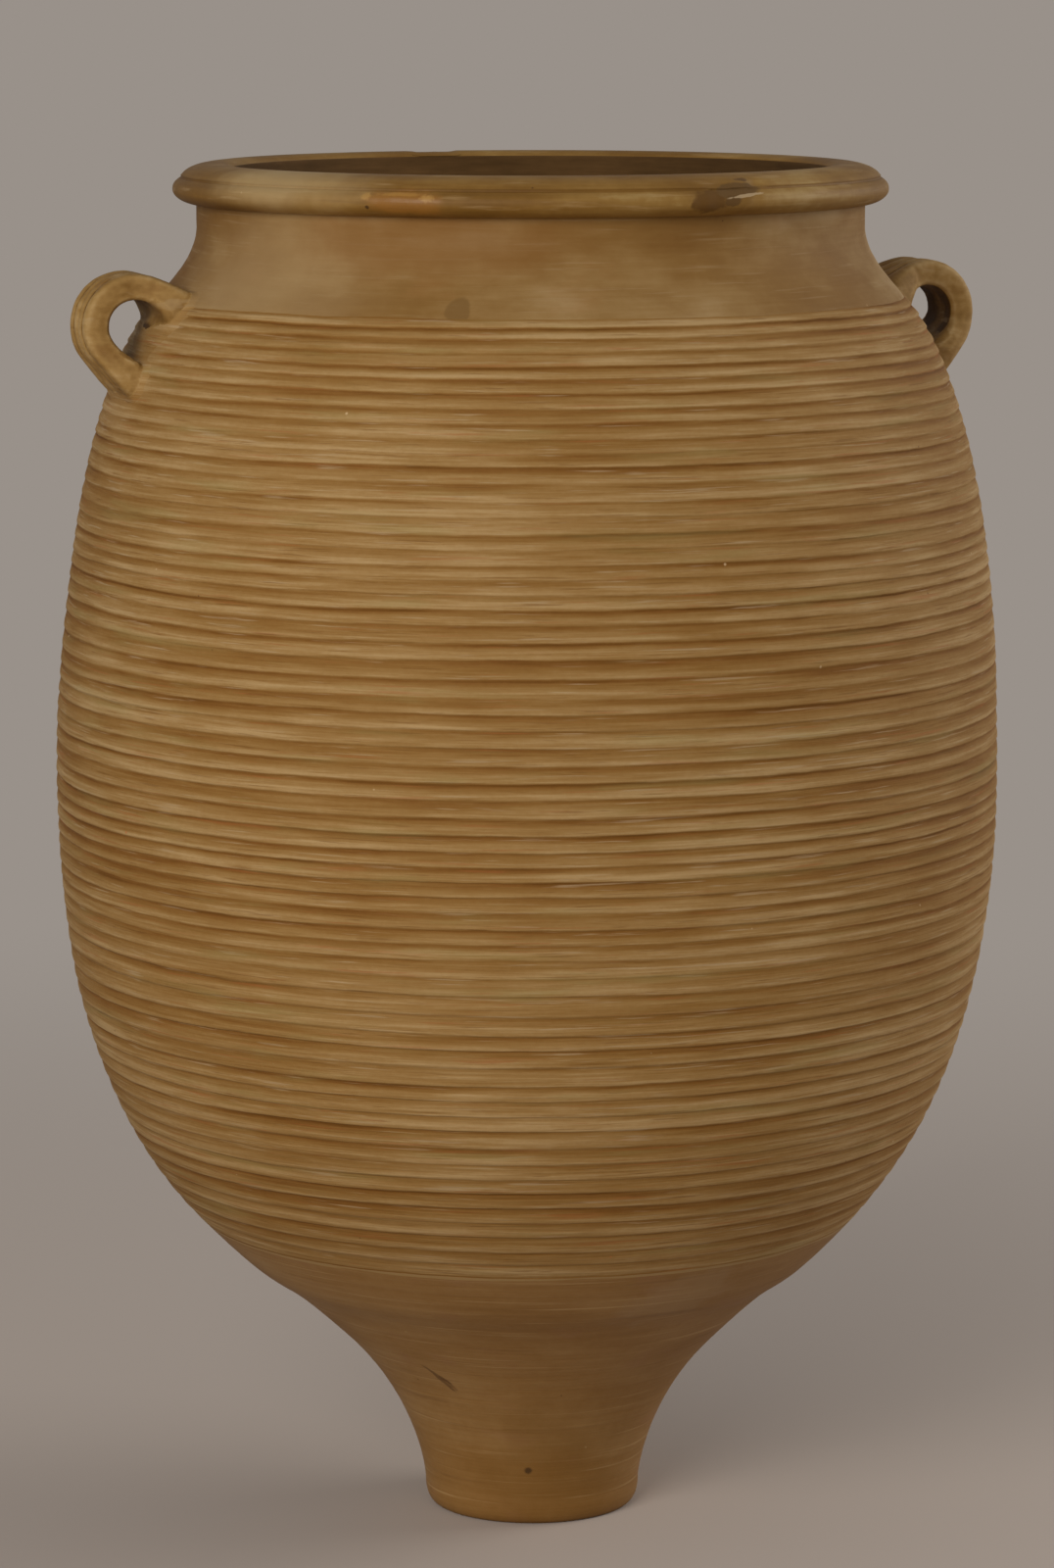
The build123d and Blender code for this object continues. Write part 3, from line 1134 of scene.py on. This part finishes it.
def workTogether(bm, name):
    # strap and bed are worked into one skin, as wet clay is
    bmesh.ops.recalc_face_normals(bm, faces=bm.faces)
    rough = finishPiece(bm, name + "_rough", [])
    skin = rough.modifiers.new("skin", "REMESH")
    skin.mode = "VOXEL"
    skin.voxel_size = lug["voxel"] * mm
    depsgraph = bpy.context.evaluated_depsgraph_get()
    joined = bpy.data.meshes.new_from_object(rough.evaluated_get(depsgraph))
    bpy.data.objects.remove(rough)
    bm = bmesh.new()
    bm.from_mesh(joined)
    return bm


def soften(bm):
    # wet fingers round the joins, most of all close to the wall, and leave faint lumps
    smoothed(bm, bm.verts, 1)
    for reach, times in lug["smoothing"]:
        smoothed(bm, [corner for corner in bm.verts if outOfWall(corner) < reach], times)
    eyeEdge = [
        corner for corner in bm.verts
        if outOfEye(corner.co) < lug["eyeEdge"] and outOfWall(corner) < lug["eyeReach"]
    ]
    smoothed(bm, eyeEdge, lug["eyePasses"])
    bm.normal_update()
    for corner in bm.verts:
        spot = corner.co / mm
        lump = noise.noise(spot / lug["lumpSize"])
        lump += lug["fineLump"] * noise.noise(spot / lug["fineLumpSize"])
        corner.co += corner.normal * (lump * lug["lump"] * mm)


def toneLug(bm):
    crestLayer = bm.verts.layers.float.new("crest")
    cutLayer = bm.verts.layers.float.new("cut")
    shaped = [corner.co.copy() for corner in bm.verts]
    smoothed(bm, bm.verts, lugTone["passes"])
    for corner, place in zip(bm.verts, shaped):
        hollow = (corner.co - place).dot(corner.normal) / mm
        corner.co = place
        outside = outOfEye(place)
        # painted shade on the ring's inner face, which lies in the jar's shade
        paintedEyeShade = lugTone["eyeShadeReach"] - outside
        paintedEyeShade *= shareOf((lugTone["eyeHalf"] - abs(place.y) / mm) / lugTone["eyeBlur"])
        paintedEyeShade *= shareOf(1.0 + (place.x - eyeCentre.x) / mm / lugTone["wallBlur"])
        # painted shade in the hollows between the ribs
        between = hollow * lugTone["hollowGain"] - lugTone["hollowFrom"]
        between *= outside > lugTone["ribsFrom"]
        # painted shade: darker where the skin dips, paler where it bulges
        corner[crestLayer] = shareOf(lugTone["flat"] - hollow)
        corner[cutLayer] = shareOf(max(between, paintedEyeShade))
        if outOfWall(corner) < lugTone["wallFrom"]:
            corner[crestLayer] = lugTone["wallTone"]
            corner[cutLayer] = 0.0
    # slot 1 is the belly's finish, 2 the neck's
    for face in bm.faces:
        if max(outOfWall(corner) for corner in face.verts) < lugTone["skinFrom"]:
            onNeck = face.calc_center_median().z > lugTone["neckFrom"] * mm
            face.material_index = 2 if onNeck else 1


def makeLug(name, node, side, skins):
    bm = bmesh.new()
    bm.verts.layers.int.new("skin")
    bendStrap(bm)
    thickenRoot(bm, -lug["upperTurn"], -1, lug["upperWeb"])
    thickenRoot(bm, lug["lowerTurn"], 1, lug["lowerWeb"])
    layBed(bm)
    bm = workTogether(bm, name)
    soften(bm)
    toneLug(bm)
    if side < 0:
        bmesh.ops.scale(bm, vec=(-1, 1, 1), verts=bm.verts)
    for corner in bm.verts:
        shift = float(drift(corner.co.z / mm)) * mm
        corner.co.x += shift * math.cos(toRight)
        corner.co.y += shift * math.sin(toRight)
    bmesh.ops.recalc_face_normals(bm, faces=bm.faces)
    standFor(finishPiece(bm, name, skins), node)


# floor, background and light
studio = {
    "floor": "#B8AEA7",
    "floorRadius": 14,
    "floorCorners": 96,
    "back": "#99918A",
    "fade": (0.7, 2.6),  # between these distances the floor runs out into the background
    "sky": 0.31,
    "aim": (0, 0, 0.5),
    # place, size, power and tint
    "lamps": {
        "key": ((-3.2, -3.4, 2.3), (2.6, 2.4), 150, "#FFF8EE"),
        "side": ((3.9, -0.1, 2), (2.4, 2.4), 80, "#FBF4EA"),
    },
}


def makeStage():
    bm = bmesh.new()
    size = {"segments": studio["floorCorners"], "radius": studio["floorRadius"]}
    bmesh.ops.create_circle(bm, cap_ends=True, **size)
    mesh = bpy.data.meshes.new("floor")
    bm.to_mesh(mesh)
    bm.free()
    floor = bpy.data.objects.new("floor", mesh)
    bpy.context.scene.collection.objects.link(floor)
    # matt paper that runs out into a plain background, seen so by the camera alone
    material, tree = newMaterial("matt studio paper")
    lit = addNode(tree, "BsdfDiffuse", {"Color": colour(studio["floor"])})
    glow = addNode(tree, "Emission", {"Color": colour(studio["back"]), "Strength": 1.0})
    place = addNode(tree, "TexCoord", output="Object")
    away = addNode(tree, "VectorMath", {0: place}, "Value", operation="LENGTH")
    near, far = studio["fade"]
    inputs = {"Value": away, "From Min": near, "From Max": far}
    faded = addNode(tree, "MapRange", inputs, interpolation_type="SMOOTHSTEP")
    seen = addNode(tree, "LightPath", output="Is Camera Ray")
    share = addNode(tree, "Math", {0: faded, 1: seen}, operation="MULTIPLY")
    mixed = addNode(tree, "MixShader", {0: share, 1: lit, 2: glow})
    addNode(tree, "OutputMaterial", {"Surface": mixed})
    mesh.materials.append(material)


def makeLamp(name, place, size, power, tint):
    data = bpy.data.lights.new(name, "AREA")
    data.shape = "RECTANGLE"
    data.size = size[0]
    data.size_y = size[1]
    data.energy = power
    data.color = colour(tint)[:3]
    lamp = bpy.data.objects.new(name, data)
    lamp.location = place
    aim = Vector(studio["aim"]) - Vector(place)
    lamp.rotation_euler = aim.to_track_quat("-Z", "Y").to_euler()
    lamp.visible_camera = False
    bpy.context.scene.collection.objects.link(lamp)


def makeLight():
    world = bpy.data.worlds.new("studio air")
    bpy.context.scene.world = world
    world.use_nodes = True
    tree = world.node_tree
    tree.nodes.clear()
    seen = addNode(tree, "LightPath", output="Is Camera Ray")
    air = addNode(tree, "Background", {"Color": colour("#FFFFFF"), "Strength": studio["sky"]})
    back = addNode(tree, "Background", {"Color": colour(studio["back"]), "Strength": 1.0})
    mixed = addNode(tree, "MixShader", {0: seen, 1: air, 2: back})
    addNode(tree, "OutputWorld", {"Surface": mixed})
    for name, lamp in studio["lamps"].items():
        makeLamp(name, *lamp)


makeCamera()
makeStage()
makeLight()
bpy.context.scene.view_settings.view_transform = "Standard"
print("camera, floor and light ready")

raw = clayMaterial(insideLook)
brushed = clayMaterial(bellyLook)
burnished = clayMaterial(lowerLook)
makeFoot([burnished, raw])
makeLowerWall([burnished, raw])
print("foot and lower wall made")
for number, name in enumerate(("belly_lower", "belly_middle", "belly_upper")):
    makeRing(name, number, [brushed, raw])
    print("ring made:", name)
wiped = clayMaterial(neckLook)
makeNeck([wiped, raw])
makeRim([clayMaterial(rimLook), raw])
print("neck and rim made")
lugClay = clayMaterial(lugLook)
makeLug("lug_right", "right_handle", 1, [lugClay, brushed, wiped])
makeLug("lug_left", "left_handle", -1, [lugClay, brushed, wiped])
print("lugs made")
